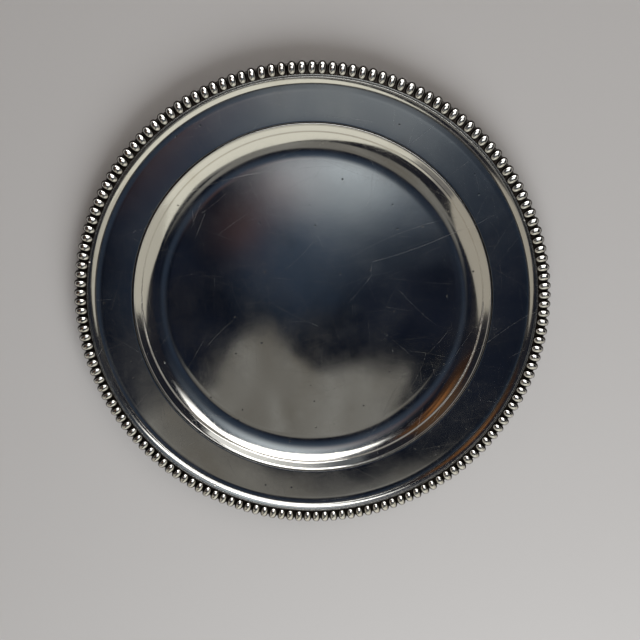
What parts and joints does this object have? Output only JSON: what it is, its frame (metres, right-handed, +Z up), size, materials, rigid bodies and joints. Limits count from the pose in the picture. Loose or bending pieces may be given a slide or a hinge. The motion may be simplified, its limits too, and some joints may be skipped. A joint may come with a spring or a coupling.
{
  "type": "paten plate",
  "caption": "Round silver plate with a shallow well, a bevelled lip inside an incised line, a broad sloping border and a cast bead edge; it holds bread or small items.",
  "frame": {"origin": "middle of the flat underside, in the plane the plate stands on", "axes": "+Z up along the plate's axis, out of the well; +X and +Y lie in the plane of the plate"},
  "size_m": [0.25, 0.25, 0.0144],
  "materials": {
    "sheet_silver": "gloss",
    "cast_silver": "gloss"
  },
  "bodies": {
    "root": {"dish": "sheet_silver", "rim_moulding": "cast_silver", "bead_border_1": "cast_silver", "bead_border_2": "cast_silver", "bead_border_3": "cast_silver", "bead_border_4": "cast_silver", "bead_border_5": "cast_silver"}
  },
  "joints": []
}
